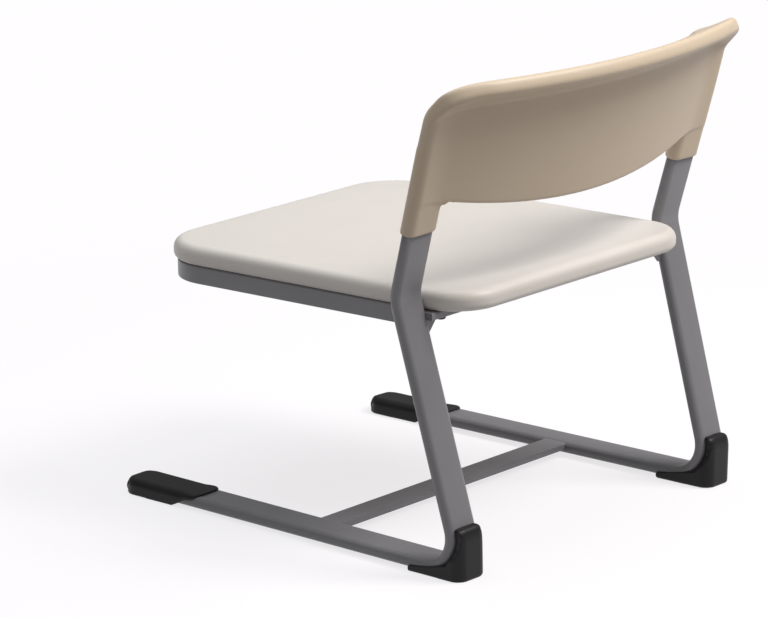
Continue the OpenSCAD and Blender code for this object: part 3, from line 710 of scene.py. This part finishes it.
def toe_section(u):
    """The front foot cut across at u, as points (back, up, across)."""
    d = u + BASE_L
    half = FOOT_W / 2 - (quarter(NOSE_R, d) + quarter(TOE_END_R, TOE_END - u))
    top = FOOT_H - TOE_DROP * quarter(TOE_TOP_R, d)
    low, rb = (table(TOE_CUT, u), CUT_R) if u > CUT_START else (SOLE_LOW, SOLE_R)
    rt = min(TOE_EDGE_R, half * 0.8, (top - low) * 0.8)
    rb = min(rb, half * 0.5, (top - low) * 0.15)
    pts = []
    for cx, cy, r, a0 in ((half - rt, top - rt, rt, 0.0), (-half + rt, top - rt, rt, 90.0),
                          (-half + rb, low + rb, rb, 180.0), (half - rb, low + rb, rb, 270.0)):
        for i in range(9):
            a = math.radians(a0 + 90 * i / 8)
            pts.append((u, cy + r * math.sin(a), cx + r * math.cos(a)))
    return np.array(pts)


def front_glide(side, name):
    us = [-BASE_L + NOSE_R * (1 - math.cos(math.radians(a))) for a in np.linspace(8, 90, 16)]
    us += list(np.linspace(us[-1], CUT_START, 12)[1:])
    us += list(np.linspace(CUT_START, TOE_LAST, 34)[1:])
    return glide(name, side, [toe_section(u) for u in us], side, 4)


for side, nm in SIDES:
    front_ob = front_glide(side, "front_glide_" + nm)
    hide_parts("front_foot_" + nm)
    finish_as(front_ob, FOOT_PLASTIC)
    rear_ob = rear_glide(side, "rear_glide_" + nm)
    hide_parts("rear_foot_" + nm)
    finish_as(rear_ob, FOOT_PLASTIC)


# Finishes of the pieces that stay as the CAD model has them
for mat, names in (
        (PAINT, ("floor_bar", "seat_rail", "rear_seat_bar", "gusset_plates", "seat_tabs")),
        (BLACK_STEEL, ("seat_screws", "seat_washers", "backrest_screws")),
        (PLUG_PLASTIC, ("post_plug_left", "post_plug_right", "runner_plugs")),
        (RIVET_STEEL, ("front_foot_rivets", "rear_foot_rivets")),
        (BRASS, ("seat_inserts",))):
    for name in names:
        dress_node(name, mat)


# Floor: the camera and reflections see paper that fades into the white behind it,
# and light bounces off a darker grey
WHITE = (1.0, 0.985, 1.0, 1.0)
bpy.ops.mesh.primitive_circle_add(vertices=96, radius=14.0, fill_type="NGON",
                                  location=(0, 0, -0.0002))
floor = bpy.context.object
floor.name = "floor"
floor_paper = bpy.data.materials.new("floor_paper")
floor_paper.use_nodes = True
nt = floor_paper.node_tree
link = nt.links.new
grey = nt.nodes["Principled BSDF"]
grey.inputs["Base Color"].default_value = (0.34, 0.335, 0.34, 1.0)
grey.inputs["Roughness"].default_value = 0.85
grey.inputs["Specular IOR Level"].default_value = 0.1
ray = node(nt, "ShaderNodeLightPath")
seen = node(nt, "ShaderNodeMath", operation="MAXIMUM")
link(ray.outputs["Is Camera Ray"], seen.inputs[0])
link(ray.outputs["Is Glossy Ray"], seen.inputs[1])
place = node(nt, "ShaderNodeTexCoord")
away = node(nt, "ShaderNodeVectorMath", operation="LENGTH")
link(place.outputs["Object"], away.inputs[0])
fade = node(nt, "ShaderNodeMapRange", {"From Min": 0.45, "From Max": 1.3,
                                       "To Min": 0.75, "To Max": 1.0},
            interpolation_type="SMOOTHSTEP")
link(away.outputs["Value"], fade.inputs["Value"])
paper = node(nt, "ShaderNodeBsdfDiffuse", {"Color": (0.97, 0.95, 0.97, 1.0)})
glow = node(nt, "ShaderNodeEmission", {"Color": WHITE})
pale = mixed(nt, fade.outputs["Result"], paper.outputs[0], glow.outputs[0])
both = mixed(nt, seen.outputs[0], grey.outputs[0], pale)
link(both, nt.nodes["Material Output"].inputs["Surface"])
floor.data.materials.append(floor_paper)

# World and lights
world = bpy.data.worlds.new("studio")
bpy.context.scene.world = world
world.use_nodes = True
wt = world.node_tree
soft = wt.nodes["Background"]
soft.inputs["Color"].default_value = (1.0, 0.99, 0.97, 1.0)
soft.inputs["Strength"].default_value = 0.30
white = node(wt, "ShaderNodeBackground", {"Color": WHITE})
world_ray = node(wt, "ShaderNodeLightPath")
sky = mixed(wt, world_ray.outputs["Is Camera Ray"], soft.outputs[0], white.outputs[0])
wt.links.new(sky, wt.nodes["World Output"].inputs["Surface"])


def area(name, where, target, size, power, colour):
    ld = bpy.data.lights.new(name, "AREA")
    ld.shape = "RECTANGLE"
    ld.size, ld.size_y = size
    ld.energy = power
    ld.color = colour
    ob = bpy.data.objects.new(name, ld)
    bpy.context.scene.collection.objects.link(ob)
    ob.location = where
    ob.rotation_euler = (Vector(target) - Vector(where)).to_track_quat("-Z", "Y").to_euler()


area("overhead", (0.1, -0.2, 2.6), (0, 0, 0.2), (2.0, 2.0), 26, (0.97, 1.0, 1.06))
area("behind", (-1.1, 1.6, 2.6), (0, 0, 0.25), (1.3, 1.3), 80, (1.0, 0.975, 0.94))

# Camera, fitted to edges in the photograph: its place, its turns, and its focal length in pixels
CAM_AT = (3.6908, 2.8137 + BACK_Y, 1.4857)
AZIMUTH, ELEVATION, ROLL = 2.270733, 0.262104, 0.000748
FOCAL, PHOTO_W, SENSOR = 4588.1, 768.0, 36.0
cam_data = bpy.data.cameras.new("camera")
cam = bpy.data.objects.new("camera", cam_data)
bpy.context.scene.collection.objects.link(cam)
back = Vector((math.sin(AZIMUTH) * math.cos(ELEVATION), -math.cos(AZIMUTH) * math.cos(ELEVATION),
               math.sin(ELEVATION)))
right = Vector((math.cos(AZIMUTH), math.sin(AZIMUTH), 0))
up = back.cross(right)
rolled_right = math.cos(ROLL) * right + math.sin(ROLL) * up
rolled_up = -math.sin(ROLL) * right + math.cos(ROLL) * up
turned = Matrix((rolled_right, rolled_up, back)).transposed().to_4x4()
cam.matrix_world = Matrix.Translation(Vector(CAM_AT)) @ turned
cam_data.sensor_fit = "HORIZONTAL"
cam_data.sensor_width = SENSOR
cam_data.lens = FOCAL * SENSOR / PHOTO_W
bpy.context.scene.camera = cam
bpy.context.scene.view_settings.view_transform = "Standard"
